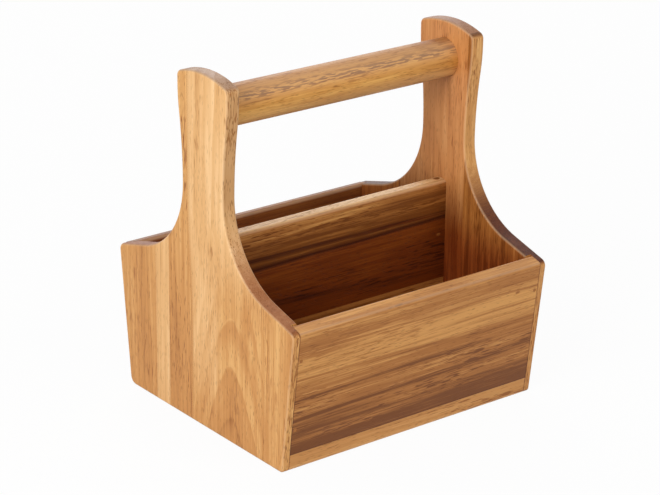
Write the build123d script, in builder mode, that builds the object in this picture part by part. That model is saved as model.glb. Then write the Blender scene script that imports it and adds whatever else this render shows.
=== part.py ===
from build123d import *
import os
from math import atan, cos, degrees, radians, sin, sqrt, tan

os.makedirs("parts", exist_ok=True)

# A free-standing wooden table caddy. A two-bin box stands between two end panels, and each end
# panel rises in one piece into a post. A round bar between the posts is the handle.
# X runs along the handle, the front faces -Y, Z is up. The origin is on the ground, under the
# middle of the caddy. All lengths are millimetres and all angles are degrees.

# ------------------------------------------------------------------ driving dimensions
# Overall box
caddy_length = 200.0  # over the outer faces of the end panels
foot_depth = 162.8  # front to back on the ground
rim_depth = 184.5  # front to back at the outer corners of the rim, where the walls lean out
rim_height = 93.5  # outer corner of the rim above the ground

# Board thicknesses
end_thickness = 10.0
wall_thickness = 10.0
base_thickness = 11.0
divider_thickness = 10.0
divider_height = 124.5  # top edge of the divider above the ground

# End panel outline above the rim
shoulder_slope = 15.5  # the rim falls away outward by this angle
waist_height = 156.5  # narrowest place of the post
waist_width = 41.8
turn_height = 201.0  # the hollow side of the post turns full here
brow_height = 219.0  # the post reaches its full width here and its sides are upright again
brow_width = 51.3
crown_height = 230.5  # top of the caddy
crown_radius = 72.0

# Handle
handle_diameter = 25.5
handle_drop = 24.0  # handle axis below the top of the posts

# Joinery
rabbet_depth = 5.0  # the walls and the base are let into the end panels by this much
housing_depth = 3.0  # the divider is let into the end panels by this much
socket_depth = 5.0  # the handle is let into the posts by this much
glue_clearance = 0.1  # room left for glue round a joint

# Brads, which pin the boards to the end panels through the rabbets
brad_diameter = 1.4
brad_length = 22.0  # head included
brad_point = 2.5  # length of the pointed tip
brad_head_diameter = 2.4
brad_head_thickness = 0.8
brad_set = 0.8  # each head is punched this far under the surface
brad_clearance = 0.05  # room round a shank and a head
filler_shrink = 0.1  # the filler over a head dries this far below the surface
lower_brad_height = 28.0
upper_brad_height = 75.0
base_brad_spacing = 100.0  # between the two brads under one end panel

# Softened edges and corners
panel_easing = 1.6  # arrises of the end panels
board_easing = 2.4  # long top arrises of the walls and the divider
front_foot_radius = 2.2  # lower front corner of the end panels and the base
back_foot_radius = 5.5  # their lower back corner
rim_corner_radius = 4.5
crown_corner_radius = 4.0

# ------------------------------------------------------------------ derived dimensions
outer_half = caddy_length / 2
inner_half = outer_half - end_thickness
board_half = inner_half + rabbet_depth - glue_clearance
foot_half = foot_depth / 2
rim_half = rim_depth / 2
waist_half = waist_width / 2
brow_half = brow_width / 2

lean = degrees(atan((rim_half - foot_half) / rim_height))
lean_tan = tan(radians(lean))
lean_cos = cos(radians(lean))
lean_sin = sin(radians(lean))
slope_tan = tan(radians(shoulder_slope))
slope_cos = cos(radians(shoulder_slope))
slope_sin = sin(radians(shoulder_slope))

# The flare is the arc that leaves the shoulder without a corner and ends upright at the waist.
flare_rise = waist_height - rim_height - slope_tan * (rim_half - waist_half)
flare_radius = flare_rise / (1 / slope_cos - slope_tan)
flare_foot = (
    waist_half + flare_radius * (1 - slope_sin),
    waist_height - flare_radius * slope_cos,
)

# Two arcs join the waist to the brow. Both are upright at their outer ends, so the point where
# they meet without a corner lies on the straight line from the waist to the brow.
turn_share = (turn_height - waist_height) / (brow_height - waist_height)
turn_half = waist_half + turn_share * (brow_half - waist_half)
crown_corner = (
    brow_half,
    crown_height - crown_radius + sqrt(crown_radius**2 - brow_half**2),
)

handle_height = crown_height - handle_drop
well_top = crown_height + end_thickness  # the well is open upward, past the crown
brad_x = inner_half + rabbet_depth / 2
end_signs = (-1, 1)


# ------------------------------------------------------------------ shared geometry
def wall_y(height, inset=0.0):
    """Distance from the middle to a leaning wall at a height, inset square to its outer face."""
    return foot_half + height * lean_tan - inset / lean_cos


def inner_rim():
    """Point (y, z) where the inner face of a wall meets the sloping rim."""
    start = wall_y(0, wall_thickness)
    height = (rim_height + (rim_half - start) * slope_tan) / (1 + lean_tan * slope_tan)
    return wall_y(height, wall_thickness), height


def wall_seat(x, height, side):
    """Plane on the outer face of the front (side -1) or back (side +1) wall, facing out."""
    return Plane(
        origin=(x, side * wall_y(height), height),
        x_dir=(1, 0, 0),
        z_dir=(0, side * lean_cos, -lean_sin),
    )


def base_seat(x, y):
    """Plane on the underside of the base, facing down."""
    return Plane(origin=(x, y, 0), x_dir=(1, 0, 0), z_dir=(0, 0, -1))


def wall_seats(side, ends):
    """Where the brads of one wall go in, at the given ends of the caddy."""
    heights = (lower_brad_height, upper_brad_height)
    return [wall_seat(end * brad_x, height, side) for end in ends for height in heights]


def base_seats(ends):
    """Where the brads of the base go in, at the given ends of the caddy."""
    half = base_brad_spacing / 2
    return [base_seat(end * brad_x, y) for end in ends for y in (-half, half)]


def divider_section(clearance=0.0):
    """End view (y, z) of the divider, standing on the base, with its top arrises softened."""
    half = divider_thickness / 2 + clearance
    height = divider_height + clearance - base_thickness
    with BuildSketch() as section:
        with Locations((0, base_thickness)):
            Rectangle(2 * half, height, align=(Align.CENTER, Align.MIN))
        fillet(section.vertices().group_by(Axis.Y)[-1], board_easing + clearance)
    return section.sketch


divider_outline = divider_section()
housing_outline = divider_section(glue_clearance / 2)


def round_feet(end_view):
    """Round the lower front and back corners of an end view, so that panels and base match."""
    fillet(end_view.vertices().group_by(Axis.Y)[0].sort_by(Axis.X)[0], front_foot_radius)
    fillet(end_view.vertices().group_by(Axis.Y)[0].sort_by(Axis.X)[-1], back_foot_radius)


# ------------------------------------------------------------------ end panels
with BuildPart() as left_end_panel:
    with BuildSketch(Plane.YZ.offset(-outer_half)) as outline:
        with BuildLine():
            Polyline((foot_half, 0), (rim_half, rim_height), flare_foot)
            TangentArc(flare_foot, (waist_half, waist_height), tangent=(-slope_cos, slope_sin))
            hollow = TangentArc(
                (waist_half, waist_height), (turn_half, turn_height), tangent=(0, 1)
            )
            TangentArc(hollow @ 1, (brow_half, brow_height), tangent=hollow % 1)
            Line((brow_half, brow_height), crown_corner)
            mirror(about=Plane.YZ)
            Line((-foot_half, 0), (foot_half, 0))
            ThreePointArc(crown_corner, (0, crown_height), (-crown_corner[0], crown_corner[1]))
        make_face()
        fillet(outline.vertices().group_by(Axis.Y)[-1], crown_corner_radius)
        round_feet(outline)
        by_depth = outline.vertices().group_by(Axis.X)
        fillet(by_depth[0] + by_depth[-1], rim_corner_radius)
    extrude(amount=end_thickness)
    fillet(left_end_panel.faces().filter_by(Axis.X).edges(), panel_easing)

    # Rabbets along the front, the back and the bottom. The cut covers twice the panel's size, so
    # that it runs out past the edges, and it spares the well that lies between the boards.
    with BuildSketch(Plane.YZ.offset(-inner_half)):
        Rectangle(2 * rim_depth, 2 * well_top)
        with BuildLine():
            Polyline(
                (-wall_y(base_thickness, wall_thickness), base_thickness),
                (wall_y(base_thickness, wall_thickness), base_thickness),
                (wall_y(well_top, wall_thickness), well_top),
                (-wall_y(well_top, wall_thickness), well_top),
                close=True,
            )
        make_face(mode=Mode.SUBTRACT)
    extrude(amount=-rabbet_depth, mode=Mode.SUBTRACT)

    # Housing for the divider
    with BuildSketch(Plane.YZ.offset(-inner_half)):
        add(housing_outline)
    extrude(amount=-housing_depth, mode=Mode.SUBTRACT)

    # Blind socket for the handle
    with BuildSketch(Plane.YZ.offset(-inner_half)):
        with Locations((0, handle_height)):
            Circle(handle_diameter / 2 + glue_clearance)
    extrude(amount=-socket_depth, mode=Mode.SUBTRACT)

    # Pilot holes for the brads
    with Locations(*wall_seats(-1, [-1]), *wall_seats(1, [-1]), *base_seats([-1])):
        Hole(brad_diameter / 2 + brad_clearance, depth=brad_set + brad_length + brad_clearance)
left_end_panel.part.label = "left_end_panel"

with BuildPart() as right_end_panel:
    add(mirror(left_end_panel.part, about=Plane.YZ, mode=Mode.PRIVATE))
right_end_panel.part.label = "right_end_panel"


# ------------------------------------------------------------------ boards of the box
def brad_bores(seats):
    """Holes through a board for set brads."""
    with Locations(*seats):
        CounterBoreHole(
            radius=brad_diameter / 2 + brad_clearance,
            counter_bore_radius=brad_head_diameter / 2 + brad_clearance,
            counter_bore_depth=brad_set + brad_head_thickness,
            depth=brad_length,
        )


def wall_board(side):
    """One leaning wall, which stands on the base and is planed flush with the sloping rim."""
    inner_y, inner_z = inner_rim()
    with BuildPart() as board:
        with BuildSketch(Plane.YZ.offset(-board_half)) as section:
            with BuildLine():
                Polyline(
                    (side * wall_y(base_thickness), base_thickness),
                    (side * rim_half, rim_height),
                    (side * inner_y, inner_z),
                    (side * wall_y(base_thickness, wall_thickness), base_thickness),
                    close=True,
                )
            make_face()
            fillet(section.vertices().sort_by(Axis.Y)[-2:], board_easing)
        extrude(amount=2 * board_half)
        brad_bores(wall_seats(side, end_signs))
    return board.part


with BuildPart() as front_board:
    add(wall_board(-1))
front_board.part.label = "front_board"

with BuildPart() as back_board:
    add(wall_board(1))
back_board.part.label = "back_board"

with BuildPart() as base_board:
    with BuildSketch(Plane.YZ.offset(-board_half)) as base_section:
        with BuildLine():
            Polyline(
                (-foot_half, 0),
                (foot_half, 0),
                (wall_y(base_thickness), base_thickness),
                (-wall_y(base_thickness), base_thickness),
                close=True,
            )
        make_face()
        round_feet(base_section)
    extrude(amount=2 * board_half)
    brad_bores(base_seats(end_signs))
base_board.part.label = "base_board"

with BuildPart() as divider_board:
    with BuildSketch(Plane.YZ.offset(-inner_half - housing_depth)):
        add(divider_outline)
    extrude(amount=2 * (inner_half + housing_depth))
divider_board.part.label = "divider_board"

# ------------------------------------------------------------------ handle
with BuildPart() as handle_bar:
    with BuildSketch(Plane.YZ.offset(-inner_half - socket_depth)):
        with Locations((0, handle_height)):
            Circle(handle_diameter / 2)
    extrude(amount=2 * (inner_half + socket_depth))
handle_bar.part.label = "handle_bar"

# ------------------------------------------------------------------ brads
# One brad hangs down from the surface that it was driven into, its head already set.
with BuildPart() as brad:
    with BuildSketch(Plane.XZ):
        with BuildLine():
            Polyline(
                (0, -brad_set),
                (brad_head_diameter / 2, -brad_set),
                (brad_head_diameter / 2, -brad_set - brad_head_thickness),
                (brad_diameter / 2, -brad_set - brad_head_thickness),
                (brad_diameter / 2, -brad_set - brad_length + brad_point),
                (0, -brad_set - brad_length),
                close=True,
            )
        make_face()
    revolve(axis=Axis.Z)

# Wood filler closes the hole over each head.
with BuildPart() as filler:
    with BuildSketch(Plane.XY.offset(-filler_shrink)):
        Circle(brad_head_diameter / 2 + brad_clearance)
    extrude(amount=filler_shrink - brad_set)

# The brads of one board are one group of separate solids, and so are their fillers.
seats_of_board = {
    "front": wall_seats(-1, end_signs),
    "back": wall_seats(1, end_signs),
    "base": base_seats(end_signs),
}
fixings = []
for board_name, seats in seats_of_board.items():
    for kind, single in (("brads", brad), ("fillers", filler)):
        with BuildPart() as fixing:
            with Locations(*seats):
                add(single.part)
        fixing.part.label = f"{board_name}_{kind}"
        fixings.append(fixing)

# ------------------------------------------------------------------ export
pieces = (
    left_end_panel,
    right_end_panel,
    front_board,
    back_board,
    base_board,
    divider_board,
    handle_bar,
    *fixings,
)
for piece in pieces:
    export_step(piece.part, f"parts/{piece.part.label}.step")
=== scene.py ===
from math import cos, radians, sin

import bmesh
import bpy
from mathutils import Matrix, Vector

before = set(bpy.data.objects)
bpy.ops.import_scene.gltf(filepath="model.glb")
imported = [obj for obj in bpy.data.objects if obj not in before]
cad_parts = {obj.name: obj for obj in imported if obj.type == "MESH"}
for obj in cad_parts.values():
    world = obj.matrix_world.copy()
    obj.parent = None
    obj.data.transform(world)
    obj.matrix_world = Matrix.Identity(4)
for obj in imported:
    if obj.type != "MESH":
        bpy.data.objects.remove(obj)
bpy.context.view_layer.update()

scene = bpy.context.scene
MM = 0.001  # places on the boards are written in millimetres and used in metres
WHITE = (1, 1, 1, 1)


# ------------------------------------------------------------------ camera
def add_camera(azimuth, elevation, roll, distance, aim_right, aim_up, focal_mm):
    """A camera that looks at the caddy from an azimuth round +Z, measured from the front."""
    turn, lift = radians(azimuth), radians(elevation)
    back = Vector((sin(turn) * cos(lift), -cos(turn) * cos(lift), sin(lift)))
    right = back.cross(Vector((0, 0, -1))).normalized()
    up = back.cross(right)
    spin = Matrix.Rotation(radians(-roll), 3, -back)
    right, up = spin @ right, spin @ up
    lens = bpy.data.cameras.new("camera")
    lens.sensor_width = 36  # millimetres, as the focal length
    lens.lens = focal_mm
    lens.clip_start, lens.clip_end = 0.05, 50
    camera = bpy.data.objects.new("camera", lens)
    scene.collection.objects.link(camera)
    place = distance * back + aim_right * right + aim_up * up
    turned = Matrix((right, up, back)).transposed()
    camera.matrix_world = Matrix.Translation(place) @ turned.to_4x4()
    scene.camera = camera


add_camera(
    azimuth=-38.169,
    elevation=21.552,
    roll=0.774,
    distance=1.58537,
    aim_right=0.00017,
    aim_up=0.08992,
    focal_mm=133.51,
)
scene.view_settings.view_transform = "Standard"


# ------------------------------------------------------------------ shader wiring
class Wiring:
    """Short names for the shader nodes that the wood is wired from."""

    # Places of the Mix node's sockets for colours
    MIX_FACTOR, MIX_FIRST, MIX_SECOND, MIX_RESULT = 0, 6, 7, 2

    def __init__(self, tree):
        self.tree = tree

    def node(self, kind, **settings):
        made = self.tree.nodes.new("ShaderNode" + kind)
        for name, value in settings.items():
            setattr(made, name, value)
        return made

    def feed(self, socket, value):
        """Links a socket to an input, or sets the input to a plain value."""
        if isinstance(value, bpy.types.NodeSocket):
            self.tree.links.new(value, socket)
        else:
            socket.default_value = value

    def math(self, operation, first, second=0.0):
        made = self.node("Math", operation=operation)
        for socket, value in zip(made.inputs, (first, second)):
            self.feed(socket, value)
        return made.outputs[0]

    def add(self, first, second):
        return self.math("ADD", first, second)

    def take(self, first, second):
        return self.math("SUBTRACT", first, second)

    def times(self, first, second):
        return self.math("MULTIPLY", first, second)

    def square(self, value):
        return self.times(value, value)

    def centred(self, noise):
        """A noise that varies round 0 instead of round a half."""
        return self.take(noise, 0.5)

    def total(self, start, *parts):
        """A start value, plus the value of each part times its share."""
        for value, share in parts:
            start = self.add(start, self.times(value, share))
        return start

    def clamp(self, value):
        made = self.node("Clamp")
        self.feed(made.inputs["Value"], value)
        return made.outputs[0]

    def ease(self, value, low, high, start=0.0, end=1.0):
        """Goes smoothly from start to end while the value goes from low to high."""
        made = self.node("MapRange", interpolation_type="SMOOTHSTEP")
        for name, given in (
            ("Value", value),
            ("From Min", low),
            ("From Max", high),
            ("To Min", start),
            ("To Max", end),
        ):
            self.feed(made.inputs[name], given)
        return made.outputs[0]

    def by_mask(self, mask, start, end):
        """Start where the mask is 0 and end where it is 1."""
        return self.ease(mask, 0.0, 1.0, start, end)

    def past(self, value, seam, soft=0.3 * MM):
        """0 before a seam and 1 past it, with a soft distance on each side."""
        return self.ease(value, seam - soft, seam + soft)

    def band(self, value, low, high, soft):
        """1 between low and high, fading to 0 over a soft distance on each side."""
        rise = self.ease(value, low - soft, low + soft)
        fall = self.ease(value, high - soft, high + soft, 1.0, 0.0)
        return self.times(rise, fall)

    def vector(self, x, y, z):
        made = self.node("CombineXYZ")
        for socket, value in zip(made.inputs, (x, y, z)):
            self.feed(socket, value)
        return made.outputs[0]

    def parts(self, vector):
        made = self.node("SeparateXYZ")
        self.feed(made.inputs[0], vector)
        return made.outputs

    def noise(self, vector, detail=2.0, roughness=0.5):
        made = self.node("TexNoise")
        made.inputs["Scale"].default_value = 1.0
        made.inputs["Detail"].default_value = detail
        made.inputs["Roughness"].default_value = roughness
        self.feed(made.inputs["Vector"], vector)
        return made.outputs[0]

    def blend(self, factor, first, second, kind="MIX"):
        """Mixes two colours."""
        made = self.node("Mix", data_type="RGBA", blend_type=kind)
        self.feed(made.inputs[self.MIX_FACTOR], factor)
        self.feed(made.inputs[self.MIX_FIRST], first)
        self.feed(made.inputs[self.MIX_SECOND], second)
        return made.outputs[self.MIX_RESULT]

    def group(self, tree, **values):
        """Places a node group, with its inputs named in lower case and joined by underscores."""
        made = self.node("Group", node_tree=tree)
        for socket in made.inputs:
            key = socket.name.lower().replace(" ", "_")
            if key in values:
                self.feed(socket, values.pop(key))
        assert not values, f"{tree.name} has no input for {sorted(values)}"
        return made.outputs


def new_group(name, values, colours, outputs):
    """A node group with named sockets. Returns its tree, wiring, inputs and output node.

    The values are numbers with their usual sizes, and the colours come after them.
    """
    tree = bpy.data.node_groups.new(name, "ShaderNodeTree")
    kinds = {"float": "NodeSocketFloat", "colour": "NodeSocketColor"}
    for title, usual in values.items():
        made = tree.interface.new_socket(title, in_out="INPUT", socket_type=kinds["float"])
        made.default_value = usual
    for title in colours:
        tree.interface.new_socket(title, in_out="INPUT", socket_type=kinds["colour"])
    for title, kind in outputs.items():
        tree.interface.new_socket(title, in_out="OUTPUT", socket_type=kinds[kind])
    wires = Wiring(tree)
    entry = tree.nodes.new("NodeGroupInput").outputs
    leave = tree.nodes.new("NodeGroupOutput").inputs
    return tree, wires, entry, leave


# ------------------------------------------------------------------ wood
# Inputs of the wood's groups, with their usual values. Places are in metres from the middle of
# the caddy's foot: across a board's face, through its thickness and along its grain.
PLACE = {"Across": 0.0, "Through": 0.0, "Along": 0.0, "Seed": 0.0}
RINGS = {
    "Pith Across": 0.0,
    "Pith Through": 30 * MM,
    "Taper": 0.02,
    "Wander": 3 * MM,
    "Ring Width": 4 * MM,
}
SHADES = {
    "Ring Contrast": 0.3,
    "Streak Width": 2.0,
    "Streak Contrast": 0.9,
    "Tone": 0.4,
    "Fibre Contrast": 0.85,
    "Fleck Contrast": 0.5,
    "Pore Contrast": 0.45,
}
PORE_DARK = (0.03, 0.010, 0.004, 1)
# Paler colour on the arrises: partly wear of the oil, partly a painted highlight.
WORN_AND_HIGHLIT_EDGE = (0.88, 0.62, 0.38, 1)
# Dark lines at the joints: glue, with painted shade in the joint.
GLUE_AND_SHADE_BROWN = (0.50, 0.38, 0.32, 1)


def make_rings_group():
    """Growth rings as cones round a pith, so that flat faces show arches and edges show lines."""
    tree, wires, entry, leave = new_group(
        "growth_rings",
        values={**PLACE, **RINGS},
        colours=(),
        outputs={"Age": "float", "Late Wood": "float", "Ring Shade": "float"},
    )
    across, through, along, seed = (entry[name] for name in PLACE)
    bends_across, bends_along = 26.0, 7.0  # slow bends of the rings, per metre
    bend = wires.noise(
        wires.vector(
            wires.add(wires.times(across, bends_across), seed),
            wires.times(through, bends_across),
            wires.times(along, bends_along),
        ),
        detail=3.0,
    )
    side = wires.take(across, entry["Pith Across"])
    depth = wires.take(through, entry["Pith Through"])
    radius = wires.math("SQRT", wires.add(wires.square(side), wires.square(depth)))
    grown = wires.total(radius, (along, entry["Taper"]), (wires.centred(bend), entry["Wander"]))
    age = wires.math("DIVIDE", grown, entry["Ring Width"])
    season = wires.math("FRACT", age)
    power, winter = 2.4, 0.9  # a ring darkens with this power of the season, until winter
    darkening = wires.math("POWER", season, power)
    late = wires.times(darkening, wires.ease(season, winter, 1.0, 1.0, 0.0))
    ring = wires.node("TexWhiteNoise", noise_dimensions="1D")
    wires.feed(ring.inputs["W"], wires.add(wires.math("FLOOR", age), seed))
    wires.feed(leave["Age"], age)
    wires.feed(leave["Late Wood"], late)
    wires.feed(leave["Ring Shade"], ring.outputs[0])
    return tree


def make_fibre_group():
    """Streaks, fibres, dark flecks and open pores, all drawn out along the grain."""
    outputs = ("Streaks", "Fibres", "Flecks", "Pores", "Clouds")
    tree, wires, entry, leave = new_group(
        "fibres_and_pores", values=PLACE, colours=(), outputs=dict.fromkeys(outputs, "float")
    )
    seed_step = 0.37  # metres that one seed moves the pattern sideways
    across = wires.total(entry["Across"], (entry["Seed"], seed_step))
    through, along = entry["Through"], entry["Along"]

    def grain(across_rate, along_rate):
        """Places for a pattern that changes at these rates, per metre, across and along."""
        return wires.vector(
            wires.times(across, across_rate),
            wires.times(through, across_rate),
            wires.times(along, along_rate),
        )

    streaks = wires.noise(grain(across_rate=260, along_rate=7), detail=3.0, roughness=0.6)
    fibres = wires.noise(grain(across_rate=1050, along_rate=24), detail=3.0, roughness=0.62)
    fleck = wires.noise(grain(across_rate=1300, along_rate=95), detail=1.0)
    patch = wires.noise(grain(across_rate=70, along_rate=14), detail=1.0)
    flecks = wires.ease(wires.total(fleck, (wires.centred(patch), 0.6)), 0.60, 0.74)
    clouds = wires.noise(grain(across_rate=28, along_rate=16), detail=2.0)

    cells = wires.node("TexVoronoi")
    cells.inputs["Scale"].default_value = 1.0
    wires.feed(cells.inputs["Vector"], grain(across_rate=1250, along_rate=170))
    near = wires.ease(cells.outputs["Distance"], 0.14, 0.34, 1.0, 0.0)
    one_in_two = wires.math("GREATER_THAN", wires.parts(cells.outputs["Color"])[0], 0.5)
    pores = wires.times(near, one_in_two)
    for title, value in zip(outputs, (streaks, fibres, flecks, pores, clouds)):
        wires.feed(leave[title], value)
    return tree


def make_acacia_group(rings_group, fibre_group):
    """The colour, height and roughness of one stave of oiled acacia."""
    tree, wires, entry, leave = new_group(
        "acacia_stave",
        values={**PLACE, **RINGS, **SHADES},
        colours=("Light", "Middle", "Dark"),
        outputs={"Color": "colour", "Height": "float", "Roughness": "float"},
    )

    def passed_on(names):
        return {name.lower().replace(" ", "_"): entry[name] for name in names}

    rings = wires.group(rings_group, **passed_on({**PLACE, **RINGS}))
    fine = wires.group(fibre_group, **passed_on(PLACE))
    age, late, ring_shade = rings["Age"], rings["Late Wood"], rings["Ring Shade"]
    streaks, fibres = wires.centred(fine["Streaks"]), wires.centred(fine["Fibres"])

    # Heartwood colour comes and goes in streaks that follow the rings, broad and narrow ones.
    heart_per_metre = 4.0  # changes along the grain
    heart = wires.noise(
        wires.vector(
            wires.add(wires.math("DIVIDE", age, entry["Streak Width"]), entry["Seed"]),
            wires.times(entry["Along"], heart_per_metre),
            entry["Seed"],
        ),
        detail=5.0,
        roughness=0.62,
    )
    mean_ring = 0.15  # taken off, so that the rings leave the mean tone about as it is
    ring_part = wires.total(-mean_ring, (late, 0.6), (wires.centred(ring_shade), 0.3))
    fibre_part = wires.total(wires.times(streaks, 0.9), (fibres, 0.8))
    tone = wires.total(
        entry["Tone"],
        (wires.centred(heart), entry["Streak Contrast"]),
        (ring_part, entry["Ring Contrast"]),
        (fibre_part, entry["Fibre Contrast"]),
        (wires.centred(fine["Clouds"]), 0.35),
        (fine["Flecks"], entry["Fleck Contrast"]),
    )
    colour = wires.blend(wires.ease(tone, 0.0, 0.5), entry["Light"], entry["Middle"])
    colour = wires.blend(wires.ease(tone, 0.45, 1.0), colour, entry["Dark"])
    pore_colour = wires.blend(0.4, entry["Dark"], PORE_DARK)
    pore_depth = wires.times(fine["Pores"], entry["Pore Contrast"])
    wires.feed(leave["Color"], wires.blend(pore_depth, colour, pore_colour))

    height = wires.total(
        wires.times(fine["Fibres"], 0.6),
        (fine["Streaks"], 0.5),
        (fine["Pores"], -0.7),
        (fine["Flecks"], -0.3),
    )
    wires.feed(leave["Height"], height)
    satin = 0.46
    wires.feed(leave["Roughness"], wires.total(satin, (streaks, 0.2), (fine["Pores"], 0.2)))
    return tree


acacia_group = make_acacia_group(make_rings_group(), make_fibre_group())


def palette(light, middle, dark):
    """Colours of a wood, from its light streaks to its dark ones."""
    return dict(light=(*light, 1), middle=(*middle, 1), dark=(*dark, 1))


PALE = palette((0.90, 0.58, 0.29), (0.75, 0.42, 0.165), (0.46, 0.20, 0.055))
HONEY = palette((0.78, 0.44, 0.16), (0.59, 0.27, 0.077), (0.32, 0.11, 0.022))
RUSSET = palette((0.66, 0.32, 0.09), (0.40, 0.150, 0.032), (0.18, 0.052, 0.007))
ROSY = palette((0.80, 0.43, 0.17), (0.62, 0.27, 0.088), (0.33, 0.10, 0.022))
# The two darkest colours also carry painted shade where they line the bins.
SHADED_CHESTNUT = palette((0.34, 0.115, 0.022), (0.19, 0.048, 0.007), (0.09, 0.017, 0.002))
UMBER = palette((0.26, 0.064, 0.007), (0.15, 0.028, 0.003), (0.05, 0.007, 0.001))


def cut(colours, **values):
    """The values of one stave: where its pith lay, how its rings run and how its colour varies."""
    usual = dict(
        seed=1.0,
        pith_across=90 * MM,
        pith_through=-60 * MM,
        taper=0.02,
        wander=6 * MM,
        ring_width=5 * MM,
        ring_contrast=0.3,
        streak_width=2.0,
        streak_contrast=0.9,
        tone=0.4,
        fibre_contrast=0.85,
        fleck_contrast=0.35,
        pore_contrast=0.45,
    )
    assert not set(values) - set(usual), f"a stave has no {sorted(set(values) - set(usual))}"
    return {**usual, **colours, **values}


def either(wires, factor, first, second):
    """The values of one stave where the factor is 0, and of another where it is 1."""
    mixed = {}
    for name, value in first.items():
        other = second[name]
        if value is other or (isinstance(value, (float, tuple)) and value == other):
            mixed[name] = value
        elif name in ("light", "middle", "dark"):
            mixed[name] = wires.blend(factor, value, other)
        else:
            mixed[name] = wires.total(value, (wires.take(other, value), factor))
    return mixed


def wood_material(name, grain_axis, across_axis, draw):
    """A wood drawn by draw(wires, place, faces): metres along and across the grain, and masks."""
    material = bpy.data.materials.new(name)
    material.use_nodes = True
    tree = material.node_tree
    shader = tree.nodes["Principled BSDF"]
    wires = Wiring(tree)
    coordinates = wires.node("TexCoord")
    axes = dict(zip("XYZ", wires.parts(coordinates.outputs["Object"])))
    normals = dict(zip("XYZ", wires.parts(coordinates.outputs["Normal"])))
    through_axis = next(a for a in "XYZ" if a not in (grain_axis, across_axis))
    place = dict(across=axes[across_axis], through=axes[through_axis], along=axes[grain_axis])
    faces = dict(
        end=wires.ease(wires.math("ABSOLUTE", normals[grain_axis]), 0.25, 0.9),
        edge=wires.ease(wires.math("ABSOLUTE", normals[across_axis]), 0.6, 0.95),
        outside=wires.ease(normals[through_axis], 0.3, 0.8),
    )
    values, tint = draw(wires, place, faces)
    wood = wires.group(acacia_group, **place, **values)
    colour = wood["Color"] if tint is None else wires.blend(1.0, wood["Color"], tint, "MULTIPLY")

    # The oil is worn and a highlight is painted where an arris turns over. This is 1 half way round
    # it and 0 on its faces.
    turned = wires.square(normals[through_axis])
    arris = wires.clamp(wires.times(wires.times(turned, wires.take(1.0, turned)), 4.0))
    wear_and_highlight = 0.25
    worn_and_highlit = wires.blend(wires.times(arris, wear_and_highlight), colour, WORN_AND_HIGHLIT_EDGE)
    wires.feed(shader.inputs["Base Color"], worn_and_highlit)
    wires.feed(shader.inputs["Roughness"], wood["Roughness"])
    shader.inputs["Specular IOR Level"].default_value = 0.25
    bump = wires.node("Bump")
    bump.inputs["Strength"].default_value = 0.4
    bump.inputs["Distance"].default_value = 0.25 * MM
    wires.feed(bump.inputs["Height"], wood["Height"])
    wires.feed(shader.inputs["Normal"], bump.outputs[0])
    return material


# ------------------------------------------------------------------ marks and tints
BOARD_END = 94.9 * MM  # half the length of a board that is let into the end panels
WALL_FOOT = 11.1 * MM  # where the walls stand on the base


def wavy_line(wires, place, start, slope, sway):
    """Height of a line that runs along the grain, with a slope and a slow sway."""
    bends_per_metre, line_seed = 22.0, start * 900.0
    bend = wires.noise(
        wires.vector(wires.times(place["along"], bends_per_metre), 3.7, line_seed), detail=3.0
    )
    return wires.total(start, (place["along"], slope), (wires.centred(bend), sway))


def dark_stripe(wires, place, start, slope, half_width, sway=3 * MM, faint=0.25):
    """1 on a dark stripe along the grain, down to faint between the fine lines it is made of."""
    off = wires.take(place["across"], wavy_line(wires, place, start, slope, sway))
    lines_per_metre, breaks_per_metre, stripe_seed = 1300.0, 16.0, start * 500.0
    lines = wires.noise(
        wires.vector(
            wires.times(off, lines_per_metre),
            stripe_seed,
            wires.times(place["along"], breaks_per_metre),
        )
    )
    body = wires.band(off, -half_width, half_width, half_width * 0.8)
    return wires.times(body, wires.ease(lines, 0.36, 0.58, faint, 1.0))


def spot(wires, place, across, along, half_width, half_length):
    """1 in a small oval mark with a soft edge, drawn out along the grain."""
    side = wires.math("DIVIDE", wires.take(place["across"], across), half_width)
    ahead = wires.math("DIVIDE", wires.take(place["along"], along), half_length)
    distance = wires.add(wires.square(side), wires.square(ahead))
    return wires.ease(distance, 0.35, 1.5, 1.0, 0.0)


def joint_tint(wires, place, foot=None):
    """Tint of a board that darkens at its glued ends, and above a glued foot if it has one: a glue
    line with painted shade in the joint.
    """
    from_middle = wires.math("ABSOLUTE", place["along"])
    shade = wires.ease(from_middle, BOARD_END - 0.9 * MM, BOARD_END)
    if foot is not None:
        at_foot = wires.ease(place["across"], foot, foot + 0.8 * MM, 1.0, 0.0)
        shade = wires.math("MAXIMUM", shade, at_foot)
    return wires.blend(shade, WHITE, GLUE_AND_SHADE_BROWN)


def end_tint(wires, place, faces, flare, lip, post=WHITE, face=WHITE):
    """Tint of an end panel's face, of its lips and posts, and of the end grain on its flares.

    The end grain is browner than the face on the flares, and pale and pinkish on the crown, partly
    its own colour and partly a painted sheen.
    """
    # Pale, pinkish end grain on the crown, with a painted sheen in it.
    crown = (0.53, 0.53, 0.72, 1)
    up_the_post = wires.ease(place["along"], 100 * MM, 150 * MM)
    tint = wires.blend(faces["edge"], face, wires.blend(up_the_post, lip, post))
    on_crown = wires.ease(place["along"], 165 * MM, 205 * MM)
    return wires.blend(faces["end"], tint, wires.blend(on_crown, flare, crown))


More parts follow.
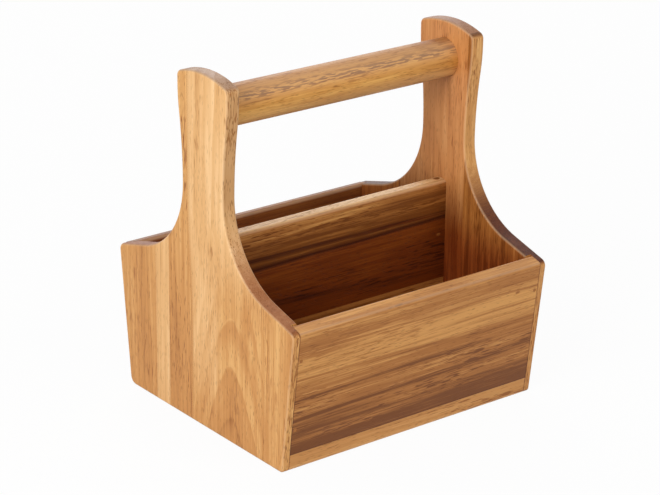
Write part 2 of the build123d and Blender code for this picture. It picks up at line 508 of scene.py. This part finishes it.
# ------------------------------------------------------------------ the wood of each piece
def left_end_wood(wires, place, faces):
    """Five staves. The widest has a flame figure, and turns pale with fine lines up the post."""
    across, along = place["across"], place["along"]
    pith = -32 * MM
    flame_top, flame_fall = 81 * MM, 46.0  # its top falls with the distance from the pith, squared
    from_pith = wires.take(across, pith)
    arch = wires.take(flame_top, wires.times(wires.square(from_pith), flame_fall))
    in_flame = wires.ease(wires.take(arch, along), -3 * MM, 5 * MM)
    heart = dict(
        seed=12.4, pith_across=pith, pith_through=-70 * MM, ring_width=6.7 * MM, taper=0.21,
        wander=6 * MM,
    )
    flame = cut(
        HONEY, tone=wires.by_mask(in_flame, 0.28, 0.46), ring_contrast=0.4, pore_contrast=0.6,
        **heart,
    )
    sap = cut(PALE, tone=0.36, streak_contrast=0.6, pore_contrast=0.6, **heart)
    post = {**cut(PALE, tone=0.37, ring_contrast=0.5, streak_contrast=0.7, **heart), "taper": 0.02}
    # The amber stave turns lighter toward the top: partly lighter wood, partly painted light.
    amber = cut(
        HONEY, seed=27.3, ring_width=4 * MM, wander=5 * MM, fleck_contrast=0.8,
        pore_contrast=0.7, tone=wires.ease(along, 60 * MM, 150 * MM, 0.54, 0.24),
    )
    strip = cut(PALE, seed=7.7, pith_across=-60 * MM, wander=3 * MM, tone=0.42, streak_contrast=0.5)
    back = cut(HONEY, seed=3.1, pith_across=120 * MM, wander=9 * MM, tone=0.46)
    front = cut(HONEY, seed=21.9, pith_across=-150 * MM, tone=0.36)

    beside_flame = wires.band(across, -16 * MM, 10 * MM, 5 * MM)
    pale_part = wires.times(beside_flame, wires.ease(along, 10 * MM, 50 * MM, 0.0, 0.75))
    wood = either(wires, pale_part, flame, sap)
    wood = either(wires, wires.ease(along, 86 * MM, 140 * MM), wood, post)
    calm = wires.band(along, 94 * MM, 134 * MM, 8 * MM)  # where the arches turn into lines
    for name, share in (("ring_contrast", 0.9), ("streak_contrast", 0.65)):
        wood[name] = wires.times(wood[name], wires.take(1.0, wires.times(calm, share)))

    amber_seam = wires.ease(along, 70 * MM, 150 * MM, 11 * MM, 14 * MM)
    past_amber_seam = wires.past(wires.take(across, amber_seam), 0.0, soft=1.5 * MM)
    wood = either(wires, past_amber_seam, wood, amber)
    wood = either(wires, wires.past(across, 36 * MM), wood, strip)
    wood = either(wires, wires.past(across, 50.5 * MM), wood, back)
    wood = either(wires, wires.past(across, -64 * MM), front, wood)
    rough_edge = {**wood, "fleck_contrast": 0.85, "pore_contrast": 0.9, "wander": 12 * MM}
    wood = either(wires, faces["edge"], wood, rough_edge)
    return wood, end_tint(
        wires, place, faces, flare=(0.52, 0.38, 0.38, 1), lip=(1.12, 1.18, 1.25, 1),
        post=(0.80, 0.77, 0.78, 1),
    )


def right_end_wood(wires, place, faces):
    """Three staves, lighter up the post, and dark and red where they line the bins, partly their
    wood and partly painted shade.
    """
    across, along = place["across"], place["along"]
    # The low stave is dark and red inside the bins: partly its wood, partly painted shade.
    low = cut(
        SHADED_CHESTNUT, seed=31.2, pith_across=15 * MM, pith_through=40 * MM, taper=0.06,
        wander=9 * MM, tone=0.34, streak_contrast=0.6,
    )
    post = {**low, **ROSY, "tone": 0.42, "wander": 6 * MM, "streak_contrast": 0.8}
    golden = {**low, **HONEY, "tone": 0.42, "fleck_contrast": 0.6}
    # The side stave darkens lower down where it lines the bins: painted shade.
    bin_shade_tone = wires.ease(along, 60 * MM, 110 * MM, 0.85, 0.55)
    most_tone = wires.by_mask(faces["outside"], 1.0, 0.35)
    side = cut(
        RUSSET, seed=44.5, pith_through=30 * MM, wander=5 * MM, streak_contrast=0.6,
        fibre_contrast=0.95, tone=wires.math("MINIMUM", bin_shade_tone, most_tone),
    )
    lit = wires.math("MAXIMUM", wires.ease(along, 88 * MM, 140 * MM), faces["outside"])
    wood = either(wires, lit, low, post)
    wood = either(wires, wires.past(across, -22 * MM), side, wood)
    wood = either(wires, wires.past(across, 41.3 * MM), wood, side)
    wood = either(wires, faces["edge"], wood, golden)
    # Darker and redder lower down inside the bins: painted shade.
    painted_bin_shade = wires.times(
        wires.ease(along, 78 * MM, 112 * MM, 1.0, 0.0), wires.take(1.0, faces["outside"])
    )
    bare_tint, bin_shade_tint = (1.04, 1.0, 0.95, 1), (0.74, 0.47, 0.42, 1)
    return wood, end_tint(
        wires, place, faces, flare=(0.24, 0.13, 0.08, 1), lip=(0.9, 0.85, 0.8, 1),
        face=wires.blend(painted_bin_shade, bare_tint, bin_shade_tint),
    )


def front_wood(wires, place, faces):
    """A board that is light along its top, with dark stripes and more streaks lower down."""
    height, along = place["across"], place["along"]
    tone = wires.ease(height, 26 * MM, 66 * MM, 0.58, 0.20)
    tone = wires.add(tone, wires.ease(height, 12 * MM, 34 * MM, 0.50, 0.0))
    tone = wires.add(tone, wires.ease(height, 76 * MM, 86 * MM, 0.0, 0.18))
    marks = [
        dark_stripe(wires, place, start * MM, slope, half_width * MM)
        for start, slope, half_width in (
            (59, -0.024, 1.6),
            (48, 0.006, 2.0),
            (36, 0.015, 1.2),
            (79, -0.010, 0.7),
        )
    ]
    marks += [
        spot(wires, place, 93.4 * MM, -20 * MM, half_width=0.6 * MM, half_length=3 * MM),
        spot(wires, place, 77 * MM, 78 * MM, half_width=1.0 * MM, half_length=1.8 * MM),
    ]
    mark_depth = 0.36
    tone = wires.total(tone, *((mark, mark_depth) for mark in marks))
    light = wires.band(height, 71 * MM, 76 * MM, 1.5 * MM)
    light = wires.times(light, wires.ease(along, -30 * MM, 60 * MM, 0.0, 0.2))
    wood = cut(
        RUSSET, seed=52.3, pith_across=240 * MM, pith_through=-40 * MM, ring_width=4.6 * MM,
        taper=0.012, wander=9 * MM, tone=wires.take(tone, light), streak_width=1.6,
        streak_contrast=wires.ease(height, 30 * MM, 64 * MM, 1.25, 0.9),
        fibre_contrast=wires.ease(height, 34 * MM, 66 * MM, 1.4, 0.85),
        fleck_contrast=wires.ease(height, 34 * MM, 66 * MM, 0.6, 0.25),
    )
    wood = either(wires, faces["edge"], wood, {**wood, "tone": 0.24})
    return wood, joint_tint(wires, place, WALL_FOOT)


def back_wood(wires, place, faces):
    """A board that is dark where it lines the bin, partly its wood and partly painted shade, and
    lighter outside and on its planed top.
    """
    # The dark inner face is partly dark wood and partly painted shade in the bin.
    bin_shaded_inner = cut(SHADED_CHESTNUT, seed=61.8, pith_across=-70 * MM, wander=8 * MM, tone=0.35)
    outer = {**bin_shaded_inner, **RUSSET, "tone": 0.58, "streak_contrast": 1.2}
    wood = either(wires, faces["outside"], bin_shaded_inner, outer)
    wood = either(wires, faces["edge"], wood, {**outer, "tone": 0.74})
    return wood, joint_tint(wires, place, WALL_FOOT)


def base_wood(wires, place, faces):
    """One even board, whose front edge shows under the front wall."""
    wood = cut(HONEY, seed=70.4, pith_across=30 * MM, tone=0.42, fleck_contrast=0.6)
    return wood, joint_tint(wires, place)


def divider_wood(wires, place, faces):
    """A mottled tan strip along the top, brown below it, then dark down to a paler foot. The dark
    part is partly dark wood and partly painted shade, and the top edge has a painted sheen.
    """
    height, along = place["across"], place["along"]
    tan_foot = wires.total(117 * MM, (along, 0.0375))
    in_tan = wires.past(wires.take(height, tan_foot), 0.0, soft=1.2 * MM)
    tan_tone, brown_tone = 0.26, wires.ease(height, 98 * MM, 112 * MM, 0.98, 0.80)
    top = cut(
        RUSSET, seed=83.6, pith_across=160 * MM, pith_through=10 * MM, wander=10 * MM,
        tone=wires.total(brown_tone, (wires.take(tan_tone, brown_tone), in_tan)),
        streak_contrast=wires.by_mask(in_tan, 0.6, 1.0), fibre_contrast=1.2,
        fleck_contrast=wires.by_mask(in_tan, 0.3, 1.2),
    )
    # The dark stave, darker towards the bottom, is partly dark wood and partly painted shade in the
    # bin.
    dark = cut(
        UMBER, seed=91.3, pith_across=40 * MM, ring_width=7 * MM, wander=8 * MM,
        tone=wires.ease(height, 70 * MM, 96 * MM, 0.52, 0.34),
    )
    foot = cut(RUSSET, seed=98.1, pith_across=-80 * MM, wander=5 * MM, tone=0.5)
    # The pale top edge is partly pale wood and partly a painted sheen.
    edge = {**top, **PALE, "tone": 0.62, "ring_contrast": 0.7, "pore_contrast": 0.8}

    lines = wires.math(
        "MAXIMUM",
        dark_stripe(wires, place, 103.3 * MM, -0.010, 1.3 * MM, sway=2 * MM, faint=0.6),
        dark_stripe(wires, place, 98.0 * MM, 0.012, 2.0 * MM, sway=2 * MM, faint=0.8),
    )
    fleck = spot(wires, place, 87.9 * MM, 84.5 * MM, half_width=0.9 * MM, half_length=1.6 * MM)
    dark = either(wires, wires.times(fleck, 0.6), dark, {**dark, **RUSSET})
    wood = either(wires, lines, top, {**top, **UMBER, "tone": 0.95})
    dark_top = wavy_line(wires, place, 97.4 * MM, slope=0.012, sway=2 * MM)
    wood = either(wires, wires.past(wires.take(height, dark_top), 0.0, soft=0.8 * MM), dark, wood)
    wood = either(wires, wires.past(height, 56.9 * MM), foot, wood)

    on_top = dict(place, across=place["through"])
    knot = spot(wires, on_top, 0.8 * MM, 86.5 * MM, half_width=2.0 * MM, half_length=2.4 * MM)
    edge = either(wires, knot, edge, {**edge, **RUSSET, "tone": 0.9})
    # A whiter tint on the top edge: painted sheen.
    edge_sheen_tint = (1.0, 1.12, 1.35, 1)
    tint = wires.blend(faces["edge"], WHITE, edge_sheen_tint)
    return either(wires, faces["edge"], wood, edge), tint


def handle_wood(wires, place, faces):
    """A bar that is golden below and pinkish brown above, with broken dark dashes between. The
    pinkish top is partly a painted sheen, and its underside has painted shade.
    """
    height, along = place["through"], place["along"]
    tone = wires.ease(height, 212 * MM, 217 * MM, 0.36, 0.62)
    # Darker along the underside of the bar: painted shade.
    tone = wires.add(tone, wires.ease(height, 194 * MM, 197 * MM, 0.25, 0.0))
    rows_per_metre, dashes_per_metre = 1000.0, 105.0
    broken = wires.noise(
        wires.vector(
            wires.times(height, rows_per_metre), 9.1, wires.times(along, dashes_per_metre)
        )
    )
    row = wires.band(height, 212.4 * MM, 216.2 * MM, 1.2 * MM)
    dashes = wires.times(row, wires.ease(broken, 0.46, 0.54))
    faint_dashes = wires.ease(broken, 0.56, 0.66)
    right_end = spot(wires, place, 0.0, 74 * MM, half_width=40 * MM, half_length=14 * MM)
    wood = cut(
        HONEY, seed=104.2, pith_across=30 * MM, pith_through=226 * MM, ring_width=4 * MM,
        taper=0.03, wander=wires.total(6 * MM, (right_end, 14 * MM)), streak_contrast=1.1,
        tone=wires.total(tone, (right_end, 0.14), (faint_dashes, 0.18)),
    )
    wood = either(wires, dashes, wood, {**wood, **RUSSET, "tone": 0.92})
    # The pinkish top of the bar is partly its wood and partly a painted sheen.
    golden, pinkish = (1.0, 0.97, 0.70, 1), (0.90, 0.92, 1.06, 1)
    return wood, wires.blend(wires.ease(height, 216 * MM, 218.4 * MM), golden, pinkish)


def filler_wood(wires, place, faces):
    """Wood filler, matt and even."""
    wood = cut(
        RUSSET, seed=110.9, ring_width=20 * MM, wander=0.0, tone=0.6, streak_contrast=0.2,
        fibre_contrast=0.1, fleck_contrast=0.0, pore_contrast=0.0,
    )
    return wood, None


def brad_material():
    """Dull steel wire, darkened by the oil."""
    material = bpy.data.materials.new("brad_steel_wire")
    material.use_nodes = True
    shader = material.node_tree.nodes["Principled BSDF"]
    wires = Wiring(material.node_tree)
    mottle = wires.noise(wires.node("TexCoord").outputs["Object"], detail=3.0)
    oiled, bare = (0.10, 0.09, 0.08, 1), (0.26, 0.24, 0.22, 1)
    shader.inputs["Metallic"].default_value = 1.0
    wires.feed(shader.inputs["Base Color"], wires.blend(mottle, oiled, bare))
    wires.feed(shader.inputs["Roughness"], wires.ease(mottle, 0.3, 0.7, 0.35, 0.55))
    return material


def dress(nodes, material):
    """Puts a material on the pieces named."""
    for name in nodes:
        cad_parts[name].material_slots[0].material = material


dress(["left_end_panel"], wood_material("left_end_acacia", "Z", "Y", left_end_wood))
dress(["right_end_panel"], wood_material("right_end_acacia", "Z", "Y", right_end_wood))
dress(["front_board"], wood_material("front_acacia", "X", "Z", front_wood))
dress(["back_board"], wood_material("back_acacia", "X", "Z", back_wood))
dress(["base_board"], wood_material("base_acacia", "X", "Y", base_wood))
dress(["divider_board"], wood_material("divider_acacia", "X", "Z", divider_wood))
dress(["handle_bar"], wood_material("handle_acacia", "X", "Y", handle_wood))
dress(["front_brads", "back_brads", "base_brads"], brad_material())
fillers = wood_material("wood_filler", "X", "Z", filler_wood)
dress(["front_fillers", "back_fillers", "base_fillers"], fillers)


# ------------------------------------------------------------------ floor and light
def white_to_camera(wires, lit, share):
    """Shows camera, glossy and transmission rays a share of plain white in place of a shader."""
    path = wires.node("LightPath")
    seen = path.outputs["Is Camera Ray"]
    for name in ("Is Glossy Ray", "Is Transmission Ray"):
        seen = wires.math("MAXIMUM", seen, path.outputs[name])
    in_world = lit.node.bl_idname == "ShaderNodeBackground"
    white = wires.node("Background" if in_world else "Emission")
    white.inputs["Color"].default_value = WHITE
    white.inputs["Strength"].default_value = 1.0
    mixer = wires.node("MixShader")
    mixed = (wires.times(seen, share), lit, white.outputs[0])
    for socket, value in zip(mixer.inputs, mixed):
        wires.feed(socket, value)
    return mixer.outputs[0]


def add_floor(half_size, camera_share):
    """A wide sheet of white paper under the caddy, which keeps the caddy's shadow."""
    mesh = bpy.data.meshes.new("floor")
    sheet = bmesh.new()
    bmesh.ops.create_grid(sheet, x_segments=1, y_segments=1, size=half_size)
    sheet.to_mesh(mesh)
    sheet.free()
    floor = bpy.data.objects.new("floor", mesh)
    scene.collection.objects.link(floor)
    material = bpy.data.materials.new("floor_paper")
    material.use_nodes = True
    nodes = material.node_tree.nodes
    shader = nodes["Principled BSDF"]
    shader.inputs["Base Color"].default_value = (0.82, 0.82, 0.82, 1)
    shader.inputs["Roughness"].default_value = 0.9
    shader.inputs["Specular IOR Level"].default_value = 0.1
    wires = Wiring(material.node_tree)
    shown = white_to_camera(wires, shader.outputs[0], camera_share)
    wires.feed(nodes["Material Output"].inputs["Surface"], shown)
    mesh.materials.append(material)


def add_world(strength):
    """A white dome that lights the caddy evenly from all round."""
    world = bpy.data.worlds.new("studio")
    scene.world = world
    world.use_nodes = True
    nodes = world.node_tree.nodes
    dome = nodes["Background"]
    dome.inputs["Color"].default_value = WHITE
    dome.inputs["Strength"].default_value = strength
    wires = Wiring(world.node_tree)
    shown = white_to_camera(wires, dome.outputs[0], 1.0)
    wires.feed(nodes["World Output"].inputs["Surface"], shown)


def add_lamp(name, place, aim_height, size, watts):
    """A square soft lamp that faces a point above the middle of the caddy's foot."""
    lamp = bpy.data.lights.new(name, "AREA")
    lamp.size = size
    lamp.energy = watts
    holder = bpy.data.objects.new(name, lamp)
    scene.collection.objects.link(holder)
    holder.location = place
    holder.rotation_mode = "QUATERNION"
    from_aim = Vector(place) - Vector((0, 0, aim_height))
    holder.rotation_quaternion = from_aim.to_track_quat("Z", "Y")


add_floor(half_size=6.0, camera_share=0.95)
add_world(strength=0.42)
add_lamp("left_softbox", place=(-1.5, -0.5, 1.1), aim_height=0.12, size=1.0, watts=21)
add_lamp("front_softbox", place=(0.5, -1.7, 1.2), aim_height=0.10, size=1.0, watts=9)
add_lamp("back_softbox", place=(0.9, 1.6, 1.1), aim_height=0.12, size=1.2, watts=11)
